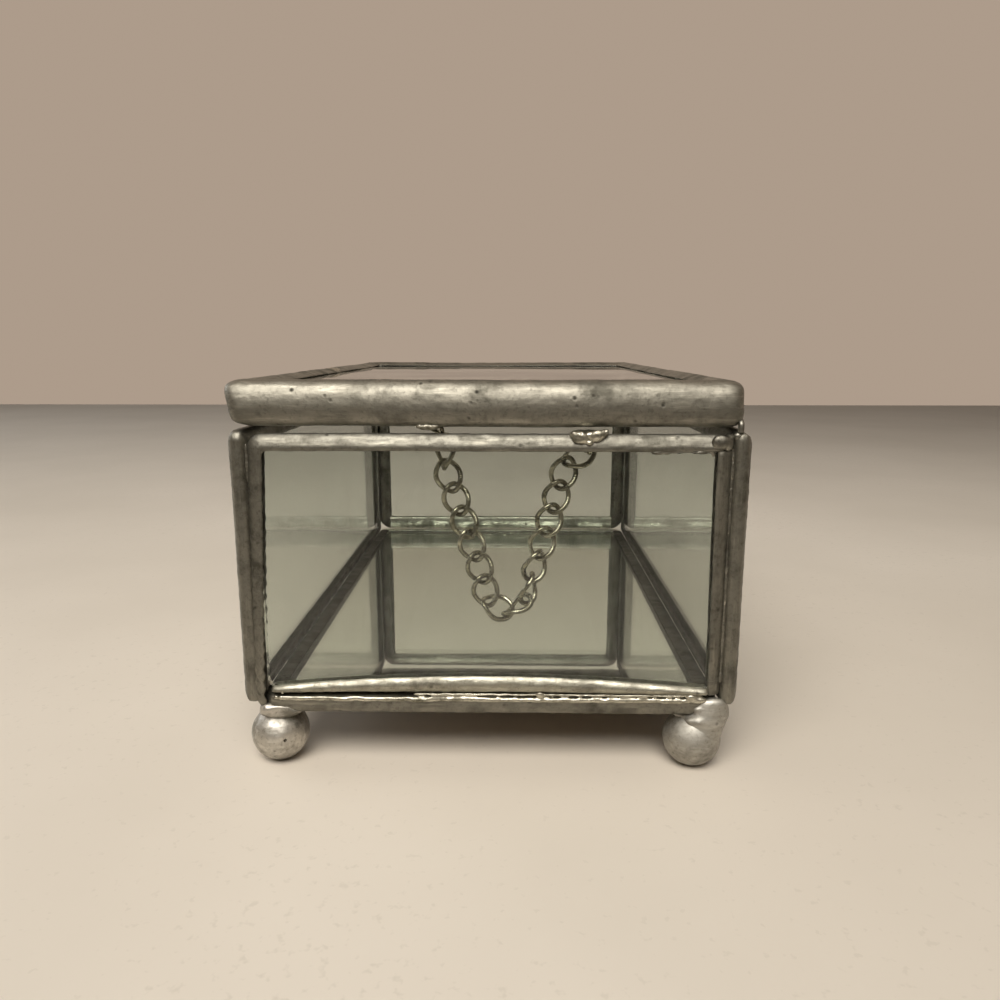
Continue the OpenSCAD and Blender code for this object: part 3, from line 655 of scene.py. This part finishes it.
def shapeRings(piece, axis, factor, centre, test=lambda stop: True):  # each ring is scaled about its centre
    for stop in rings(piece, axis, test):
        choose(piece, "VERT", lambda vertex: abs(vertex.co[axis] / mm - stop) < 0.002)
        middle = [stop if value is None else value for value in centre]
        bpy.ops.transform.resize(value=factor(stop), center_override=[value * mm for value in middle])
        leaveMesh()


def leanRings(piece, shift, test):  # each ring on the left is slid sideways
    for stop in rings(piece, 1, test):
        choose(piece, "VERT", lambda vertex: abs(vertex.co.y / mm - stop) < 0.002 and vertex.co.x < 0)
        bpy.ops.transform.translate(value=(shift(stop) * mm, 0, 0))
        leaveMesh()


def finishLength(piece, wide, tall, middle, node):
    closeEnds(piece)
    closeMesh(piece)
    markRun(piece, wide, tall, strips["deep"])
    stand(piece, "front", (0, -strips["endPlane"], middle))
    handwork(piece, strips["lumps"], strips["frontSway"], rounds=1)
    finishPiece(piece, "case", metal["stripPewter"], node)


def closeEnds(piece):  # any open end gets its face
    editMesh(piece, "EDGE", "DESELECT")
    bpy.ops.mesh.select_non_manifold(extend=False, use_wire=False, use_multi_face=False,
                                     use_non_contiguous=False, use_verts=False)
    bpy.ops.mesh.edge_face_add()
    leaveMesh()


makeStrips()
print("case strips made")


lid = {"left": -52.0, "right": 50.0, "long": 152.8, "middle": 76.65, "deep": 6.4, "halfThick": 4.6,
       "rounds": (3.0, 3.0), "pitch": 1.5, "lumps": ((0.26, 5.0), (0.12, 1.0)), "sway": 0.30,
       "swaySize": 0.04, "square": 2.1, "squareCurve": 7, "flankFrom": 0.25, "flankBlend": 0.4,
       "flatBand": 0.8, "hingeEase": 0.35, "lean": 2.2, "leanTop": 2.0, "leanTall": 6.6, "leanCurve": 1.3,
       "paneLow": 75.8, "paneHigh": 79.9, "paneWide": 95.3, "paneLong": 148.4, "cuts": 24, "paneEdge": 0.3}


def lidSection():  # lips level with the pane and a bulging back
    channel = [(5.0, 0.2), (5.0, 2.95), (4.6, 3.25), (0.0, 3.25)]
    crown = [(0.0, 3.5), (0.12, 3.66), (0.8, 3.92), (1.6, 4.22), (2.3, 4.47), (3.0, 4.6), (3.7, 4.48),
             (4.3, 4.16), (4.85, 3.7), (5.32, 3.15), (5.66, 2.55), (5.96, 1.8), (6.18, 1.0), (6.32, 0.2),
             (6.39, -0.5), (6.39, -1.2)]
    under = [(6.32, -1.9), (6.16, -2.7), (5.88, -3.4), (5.42, -4.0), (4.85, -4.4), (4.0, -4.62), (3.2, -4.6),
             (2.2, -4.3), (1.2, -3.7), (0.3, -3.0), (0.0, -2.7), (0.0, -0.88), (5.0, -0.88)]
    return channel + crown + under


def leanFlanks(piece, wide):  # squares both flanks and draws the left one in below
    nose = wide / 2 - lid["deep"]
    for vertex in piece.data.vertices:
        across = vertex.co.z / mm
        level = abs(across) / lid["halfThick"]
        out = (abs(vertex.co.x) / mm - nose) / lid["deep"]
        side = 1 if vertex.co.x > 0 else -1
        if out > lid["flankFrom"] and abs(across) > lid["flatBand"]:
            swell = level ** 2 * (1 - min(1, level) ** lid["squareCurve"]) * lid["square"]
            if side > 0 and across < 0:  # room for the hinge to open
                swell *= lid["hingeEase"]
            vertex.co.x += side * swell * min(1, (out - lid["flankFrom"]) / lid["flankBlend"]) * mm
        if side < 0:
            low = max(0, lid["leanTop"] - across) / lid["leanTall"]
            vertex.co.x += lid["lean"] * low ** lid["leanCurve"] * mm


def makeLidStrip():
    wide, middle = lid["right"] - lid["left"], (lid["right"] + lid["left"]) / 2
    piece = closedFrame("lidStrip", wide, lid["long"], lidSection(), lid["deep"], lid["pitch"],
                        lid["rounds"])
    leanFlanks(piece, wide)
    stand(piece, "flat", (middle, 0, lid["middle"]))
    handwork(piece, lid["lumps"], lid["sway"], lid["swaySize"], rounds=1)
    finishPiece(piece, "lid", metal["lidPewter"], "lid_strip")


def makeLidPane():
    pane = slab("lidPane", (lid["left"] + lid["right"]) / 2, lid["paneWide"], lid["paneLong"], lid["paneLow"],
                lid["paneHigh"], lid["cuts"])
    useModifier(pane, "BEVEL", width=lid["paneEdge"] * mm, segments=2, angle_limit=crease)
    closeMesh(pane, 0.000002)
    finishPiece(pane, "lid", glass["paneGlass"], "lid_glass")


makeLidStrip()
makeLidPane()
print("lid made")


solder = {"corner": {"voxel": 0.22, "lumps": ((0.16, 1.2),), "material": "dullSolder"},
          "front": {"voxel": 0.2, "lumps": ((0.16, 1.4),), "soften": 8},
          "foot": {"voxel": 0.3, "lumps": ((0.22, 2.6), (0.06, 0.6)), "soften": 24},
          "rod": {"voxel": 0.16, "lumps": ((0.2, 0.7),), "material": "dullSolder"},
          "tube": {"voxel": 0.16, "lumps": ((0.15, 0.6),)},
          "hook": {"voxel": 0.18, "lumps": ((0.4, 1.3), (0.15, 0.5)), "soften": 2},
          "lidChain": {"voxel": 0.2, "lumps": ((0.25, 1.0),)},
          "lidJoint": {"voxel": 0.25, "lumps": ((0.35, 1.2),)}}


def solderLump(name, node, body, balls, voxel, lumps, material="brightSolder", soften=4):
    made = []
    for x, y, z, rx, ry, rz in balls:  # a place and three radii each
        bpy.ops.mesh.primitive_ico_sphere_add(subdivisions=3, radius=mm, location=(x * mm, y * mm, z * mm),
                                              scale=(rx, ry, rz))
        made.append(bpy.context.active_object)
    for ball in made:
        ball.select_set(True)
    piece = made[0]
    bpy.context.view_layer.objects.active = piece
    if len(made) > 1:
        bpy.ops.object.join()
    piece.name = name
    applyPlace(piece)
    useModifier(piece, "REMESH", mode="VOXEL", voxel_size=voxel * mm)
    useModifier(piece, "SMOOTH", factor=0.5, iterations=soften)
    handwork(piece, lumps)
    finishPiece(piece, body, metal[material], node)


def bead(start, end, radii, gap, shake):  # a run of solder as overlapping lumps
    start, end = Vector(start), Vector(end)
    count = max(1, round((end - start).length / gap))
    run = []
    for index in range(count + 1):
        spot = start.lerp(end, index / count)
        size = random.uniform(0.82, 1.12)
        place = [spot[i] + random.uniform(-shake[i], shake[i]) for i in range(3)]
        run.append((*place, *[r * size for r in radii]))
    return run


seams = {"x": 48.0, "y": 74.75, "low": 20.4, "high": 67.2, "radii": (0.6, 0.5, 1.5), "gap": 1.3,
         "shake": (0.05, 0.14, 0.3), "blobHeights": (20.8, 66.4), "blob": (0.8, 0.6, 0.9),
         "topJoint": [(45.2, -75.9, 69.3, 1.9, 1.1, 1.6), (46.6, -75.5, 68.9, 1.1, 1.0, 1.5),
                      (46.9, -74.6, 69.6, 1.2, 1.3, 1.4), (43.9, -75.7, 66.9, 0.42, 0.4, 0.5),
                      (43.6, -75.9, 67.7, 0.4, 0.35, 0.6)],
         "drips": (33.2, 34.9, 36.3, 37.4, 39.0, 40.3, 41.6, 42.6), "dripY": -75.75, "dripZ": 67.5,
         "dripDeep": 0.45,
         "frontY": -75.85, "frontReach": 42.4, "lumpHeight": 15.3, "lineHeight": 16.45, "lineFrom": -14.0,
         "lineRadii": (1.8, 0.42, 0.3), "lineGap": 1.6, "lineShake": (0.2, 0.05, 0.05),
         "frontEnds": [(-43.0, -76.5, 17.0, 0.4, 0.45, 0.6), (-44.4, -76.3, 15.7, 0.6, 0.5, 0.5),
                       (43.2, -76.0, 15.6, 2.1, 0.8, 0.8), (42.0, -76.1, 16.3, 1.2, 0.7, 0.7),
                       (10.6, -75.9, 16.5, 0.9, 0.5, 0.7)]}


def makeSeams():
    s = seams
    for sy, end in ((-1, "front"), (1, "back")):
        for sx, side in ((-1, "left"), (1, "right")):
            x, y = sx * s["x"], sy * s["y"]
            run = bead((x, y, s["low"]), (x, y, s["high"]), s["radii"], s["gap"], s["shake"])
            rx, ry, rz = s["blob"]
            for z in s["blobHeights"]:
                run.append((x, y - sy * 0.1, z, rx, ry, rz * random.uniform(0.7, 1.3)))
            if (end, side) == ("front", "right"):  # the joint at the top, with drips beside it
                run += s["topJoint"]
                run += [(x, s["dripY"] + random.uniform(-0.1, 0.1), s["dripZ"] - random.uniform(0, 0.25),
                         random.uniform(0.8, 1.6), s["dripDeep"], random.uniform(0.25, 0.5))
                        for x in s["drips"]]
            solderLump(end + side.title() + "Seam", "seam_solder_%s_%s" % (end, side), "case", run,
                       **solder["corner"])
    run = []
    reach, x, y = s["frontReach"], -s["frontReach"], s["frontY"]
    while x < reach:  # a lumpy run below, a thin bright line above it
        long = random.uniform(1.6, 3.6)
        run.append((x, y + random.uniform(-0.08, 0.08), s["lumpHeight"] + random.uniform(-0.1, 0.1),
                    long, random.uniform(0.45, 0.6), random.uniform(0.5, 0.66)))
        x += long * 0.7
    run += bead((s["lineFrom"], y + 0.05, s["lineHeight"]), (reach, y, s["lineHeight"]), s["lineRadii"],
                s["lineGap"], s["lineShake"])
    solderLump("frontSeam", "front_seam_solder", "case", run + s["frontEnds"], **solder["front"])


makeSeams()
print("seams soldered")


feet = {"radius": 6.05, "middle": 5.95, "dents": ((0.26, 4.2), (0.10, 1.1)), "around": 72, "rows": 48,
        "corners": {"front_left": ((-45.2, -71.9), (24, 5), "ballMetal"),
                    "front_right": ((43.1, -72.9), (-118, 12), "matteBall"),
                    "back_left": ((-43.1, 72.9), (150, -8), "ballMetal"),
                    "back_right": ((45.2, 71.9), (70, 20), "ballMetal")},
        "holeAngle": 3.6, "holeSteps": ((0.05, 0.03), (0.02, 0.35), (0.05, 0.6))}


def makeBall():  # one ball with a small hole left in the casting
    bpy.ops.mesh.primitive_uv_sphere_add(segments=feet["around"], ring_count=feet["rows"], location=(0, 0, 0),
                                         radius=feet["radius"] * mm, rotation=(math.radians(90), 0, 0))
    ball = bpy.context.active_object
    applyPlace(ball)
    edge = -math.cos(math.radians(feet["holeAngle"]))
    choose(ball, "FACE", lambda face: face.normal.y < edge)
    for thick, push in feet["holeSteps"]:
        bpy.ops.mesh.inset(thickness=thick * mm)
        bpy.ops.transform.translate(value=(0, push * mm, 0))
    leaveMesh()
    return ball


def makeFeet():
    ball = makeBall()
    for corner, ((x, y), (around, above), finish) in feet["corners"].items():
        pick(ball)
        bpy.ops.object.duplicate(linked=False)
        foot = bpy.context.active_object
        foot.name = "foot" + corner.title().replace("_", "")
        foot.rotation_euler = (-math.radians(above), 0, math.radians(around))
        foot.location = (x * mm, y * mm, feet["middle"] * mm)
        applyPlace(foot)
        handwork(foot, feet["dents"])
        editMesh(foot)  # a small flat is left where it stands
        bpy.ops.mesh.bisect(plane_co=(0, 0, 0), plane_no=(0, 0, -1), use_fill=True, clear_outer=True,
                            threshold=0.0000001)
        leaveMesh()
        finishPiece(foot, "case", metal[finish], "foot_" + corner)
    pick(ball)
    bpy.ops.object.delete()


makeFeet()
print("feet made")


collars = {"low": 11.1, "plate": (3.5, 3.5, 1.2), "radius": 3.3, "spread": 9,
           "front_right": [(44.5, -74.5, 8.4, 4.7, 3.6, 3.4), (45.6, -74.9, 10.6, 4.1, 3.0, 3.2),
                           (46.2, -75.2, 12.6, 3.6, 2.2, 2.6), (46.5, -75.5, 14.4, 3.1, 1.5, 1.6),
                           (49.0, -75.2, 12.6, 1.3, 1.4, 2.4), (43.6, -75.9, 13.6, 1.4, 0.8, 0.6)],
           "front_left": [(-44.6, -74.4, 11.6, 4.4, 2.0, 1.4), (-46.6, -75.2, 12.6, 1.9, 1.5, 1.5),
                          (-42.0, -74.9, 12.2, 2.8, 1.5, 1.1), (-43.6, -75.6, 13.2, 2.6, 0.9, 0.6)],
           "back_left": [(-42.6, 74.4, 11.4, 3.4, 1.9, 1.2)],
           "back_right": [(45.8, 73.6, 11.4, 3.2, 2.0, 1.2)]}


def makeCollars():
    c = collars
    for corner, ((x, y), _, finish) in feet["corners"].items():
        balls = [(x, y, c["low"] + 0.2, *c["plate"])] + c[corner]
        for index in range(c["spread"]):
            turn = index * 2 * math.pi / c["spread"] + random.uniform(-0.2, 0.2)
            reach, size = c["radius"] + random.uniform(-0.5, 0.2), random.uniform(0.8, 1.5)
            balls.append((x + reach * math.cos(turn), y + reach * math.sin(turn),
                          c["low"] + random.uniform(0.0, 0.4), size, size, size * 0.7))
        solderLump("collar" + corner.title().replace("_", ""), "foot_solder_" + corner, "case", balls,
                   material=finish, **solder["foot"])


makeCollars()
print("foot solder made")


hinge = {"x": 49.1, "z": 73.3, "tubeRadius": 1.2, "tubeLength": 143.0, "tubeWall": 0.35, "boreDeep": 2.0,
         "cuts": 60, "tubeEdge": 0.12, "tubeDents": ((0.08, 3.0),), "tubeSway": 0.15, "swaySize": 0.05,
         "rodRadius": 0.6, "rodReach": 75.3, "rodFoot": 71.1, "bend": 1.0, "rodDents": ((0.04, 0.8),),
         "rodSolder": ((48.7, 74.6, 70.4, 1.2, 1.2, 1.0), (48.6, 73.8, 70.2, 1.0, 1.2, 0.9)),
         "tubeSolder": {"front": -64, "middle": 0, "back": 64}, "beadX": 47.9, "beadZ": 73.6, "beadHalf": 3.9,
         "beadRadii": (0.75, 0.9, 0.75), "beadGap": 0.9, "beadShake": (0.06, 0.1, 0.06)}


def makeHinge():
    h = hinge
    bpy.ops.mesh.primitive_cylinder_add(vertices=28, radius=h["tubeRadius"] * mm, depth=h["tubeLength"] * mm,
                                        location=(h["x"] * mm, 0, h["z"] * mm),
                                        rotation=(math.radians(90), 0, 0))
    tube = bpy.context.active_object
    tube.name = "hingeTube"
    applyPlace(tube)
    for sign in (-1, 1):  # the bore shows at both ends
        end = sign * h["tubeLength"] / 2 * mm
        choose(tube, "FACE", lambda face: abs(face.center.y - end) < 0.00001 and abs(face.normal.y) > 0.9)
        bpy.ops.mesh.inset(thickness=h["tubeWall"] * mm)
        bpy.ops.mesh.extrude_region_move(TRANSFORM_OT_translate={"value": (0, -sign * h["boreDeep"] * mm, 0)})
        leaveMesh()
    cutEvenly(tube, (0, 1, 0), 0, h["tubeLength"], h["cuts"])
    closeMesh(tube, 0.000001)
    useModifier(tube, "BEVEL", width=h["tubeEdge"] * mm, segments=2, angle_limit=crease)
    handwork(tube, h["tubeDents"], h["tubeSway"], h["swaySize"])
    finishPiece(tube, "lid", metal["hingeMetal"], "hinge_tube")
    # the rod runs through the tube and turns down at both ends
    bend, drop = h["bend"], h["z"] - h["rodFoot"] - h["bend"]
    legs = [("run", drop), ("bend", 90, bend), ("run", 2 * (h["rodReach"] - bend)), ("bend", 90, bend),
            ("run", drop)]
    rod = sweepWire("hingeRod", h["rodRadius"], (h["rodReach"], -drop - bend), 0, legs)
    stand(rod, "side", (h["x"], 0, h["z"]))
    handwork(rod, h["rodDents"])
    finishPiece(rod, "case", metal["hingeMetal"], "hinge_rod")
    for sign, end in ((-1, "front"), (1, "back")):
        balls = [(x, sign * y, z, *radii) for x, y, z, *radii in h["rodSolder"]]
        solderLump("hingeSolder" + end.title(), "hinge_solder_" + end, "case", balls, **solder["rod"])
    for end, y in h["tubeSolder"].items():
        start, stop = ((h["beadX"], y + side * h["beadHalf"], h["beadZ"]) for side in (-1, 1))
        balls = bead(start, stop, h["beadRadii"], h["beadGap"], h["beadShake"])
        solderLump("tubeSolder" + end.title(), "hinge_tube_solder_" + end, "lid", balls, **solder["tube"])


def sweepWire(name, radius, spot, heading, legs, closed=False, pitch=0.8, arcSteps=6, around=14):
    section = [(radius * math.cos(2 * math.pi * i / around), radius * math.sin(2 * math.pi * i / around))
               for i in range(around)]
    piece = sweep(name, section, spot, heading, legs, pitch, closed, arcSteps)
    if not closed:
        closeEnds(piece)
    closeMesh(piece, 0.000005)
    return piece


makeHinge()
print("hinge made")


chain = {"plane": -68.3, "wire": 1.08, "long": 6.7, "wide": 5.0, "endBend": 1.95, "sideBend": 4.007,
         "twist": 1.39, "pitch": 5.15, "slack": 4.85, "slackLinks": (7, 8), "start": 0.12,
         "dents": ((0.06, 1.0),), "hookDents": ((0.08, 0.7),),
         "headings": [208, 254, 254, 254, 254, 254, 259, 213, 154, 98, 108, 108, 108, 108, 108, 87, 126],
         "rolls": [30, 0, 0, 0, 0, -30, -60, -100, -140, -180, -180, -180, -180, -180, -180, -225, -246],
         "bodies": ["chain_top_link"] + ["chain_rail_leg"] * 5 + ["chain_turn_%d" % i for i in (1, 2, 3, 4)]
         + ["chain_lid_leg"] * 5 + ["chain_end_link", "lid"],
         "hookX": 20.1, "hookBack": -66.2, "hookFront": -72.26, "hookLow": 66.8, "hookTop": 70.5,
         "hookBend": 0.7, "hookTip": 0.92, "tipFlat": 0.85, "hookVoxel": 0.13,
         "hookSolder": [(17.9, -75.9, 70.2, 1.75, 1.0, 1.35), (16.9, -75.5, 70.7, 1.1, 0.9, 0.8),
                        (21.2, -76.0, 70.6, 1.6, 1.0, 1.2), (22.4, -75.9, 71.0, 0.7, 0.8, 0.8),
                        (23.1, -75.9, 71.3, 0.45, 0.7, 0.5), (19.6, -75.2, 70.2, 2.4, 0.9, 1.0),
                        (19.6, -74.4, 70.7, 3.2, 2.1, 0.85), (18.0, -73.4, 70.6, 2.0, 1.3, 0.9),
                        (20.1, -72.6, 69.9, 1.3, 0.9, 1.3), (19.7, -76.0, 69.2, 0.8, 0.7, 0.5)],
         "lidSolder": [(-11.8, -74.6, 72.15, 2.5, 1.3, 0.75), (-13.2, -74.4, 72.35, 1.2, 1.1, 0.5),
                       (-10.2, -74.0, 72.4, 1.3, 1.3, 0.6), (-9.6, -72.0, 72.5, 1.2, 1.8, 0.8),
                       (-10.8, -69.6, 72.4, 1.5, 1.9, 1.0)]}


def makeLink():  # an oval of wire with a curb twist
    half, endBend, sideBend = chain["long"] / 2, chain["endBend"], chain["sideBend"]
    turn = 2 * math.degrees(math.atan2(sideBend - chain["wide"] / 2, half - endBend))
    angles = (turn / 2, 180 - turn, turn, 180 - turn, turn / 2)
    legs = [("bend", angle, (endBend, sideBend)[index % 2]) for index, angle in enumerate(angles)]
    link = sweepWire("link", chain["wire"] / 2, (half, 0), 0, legs, closed=True, arcSteps=10)
    useModifier(link, "SIMPLE_DEFORM", deform_method="TWIST", deform_axis="X", angle=chain["twist"])
    return link


def makeLinks():
    link = makeLink()
    x, z = chain["hookX"], chain["hookLow"]
    for index, (heading, roll) in enumerate(zip(chain["headings"], chain["rolls"])):
        half = chain["slack" if index in chain["slackLinks"] else "pitch"] / 2
        turn = math.radians(heading)
        lead = half if index else chain["long"] / 2 - chain["wire"] - chain["start"]
        x, z = x + lead * math.cos(turn), z + lead * math.sin(turn)
        pick(link)
        bpy.ops.object.duplicate(linked=False)
        piece = bpy.context.active_object
        piece.name = "chainLink%d" % (index + 1)
        piece.matrix_world = (Matrix.Translation((x * mm, chain["plane"] * mm, z * mm)) @ turned(90, "X")
                              @ turned(heading, "Z") @ turned(roll, "X"))
        applyPlace(piece)
        x, z = x + half * math.cos(turn), z + half * math.sin(turn)
        handwork(piece, chain["dents"])
        finishPiece(piece, chain["bodies"][index], metal["chainNickel"],
                    "chain_link_%d" % (index + 1))
    pick(link)
    bpy.ops.object.delete()


def makeHook():  # a bent wire through the first link, with a melted tip
    x, back, low, bend = chain["hookX"], chain["hookBack"], chain["hookLow"], chain["hookBend"]
    reach, rise = back - chain["hookFront"], chain["hookTop"] - low
    hook = sweepWire("chainHook", chain["wire"] / 2, (back, low), 90,
                     [("run", reach - bend), ("bend", -90, bend), ("run", rise - bend)], pitch=0.5)
    stand(hook, "side", (x, 0, 0))
    bpy.ops.mesh.primitive_ico_sphere_add(subdivisions=3, radius=chain["hookTip"] * mm,
                                          scale=(1, chain["tipFlat"], 1),
                                          location=(x * mm, back * mm, low * mm))
    hook.select_set(True)
    bpy.context.view_layer.objects.active = hook
    bpy.ops.object.join()
    useModifier(hook, "REMESH", mode="VOXEL", voxel_size=chain["hookVoxel"] * mm)
    handwork(hook, chain["hookDents"])
    finishPiece(hook, "case", metal["chainNickel"], "chain_hook")
    solderLump("chainHookSolder", "chain_hook_solder", "case", chain["hookSolder"], **solder["hook"])
    solderLump("lidChainSolder", "lid_chain_solder", "lid", chain["lidSolder"], **solder["lidChain"])


makeLinks()
makeHook()
print("chain made")


lidJoint = {"x": -47.95, "z": 79.45, "stops": (-0.6, 1.3, 3.2, 5.1), "radii": (2.15, 2.1, 1.9)}


def makeLidJoint():  # the two ends of the lid strip meet here
    balls = [(lidJoint["x"], y, lidJoint["z"], *lidJoint["radii"]) for y in lidJoint["stops"]]
    solderLump("lidJointSolder", "lid_joint_solder", "lid", balls, **solder["lidJoint"])


makeLidJoint()
print("lid joint soldered")

bpy.context.view_layer.update()
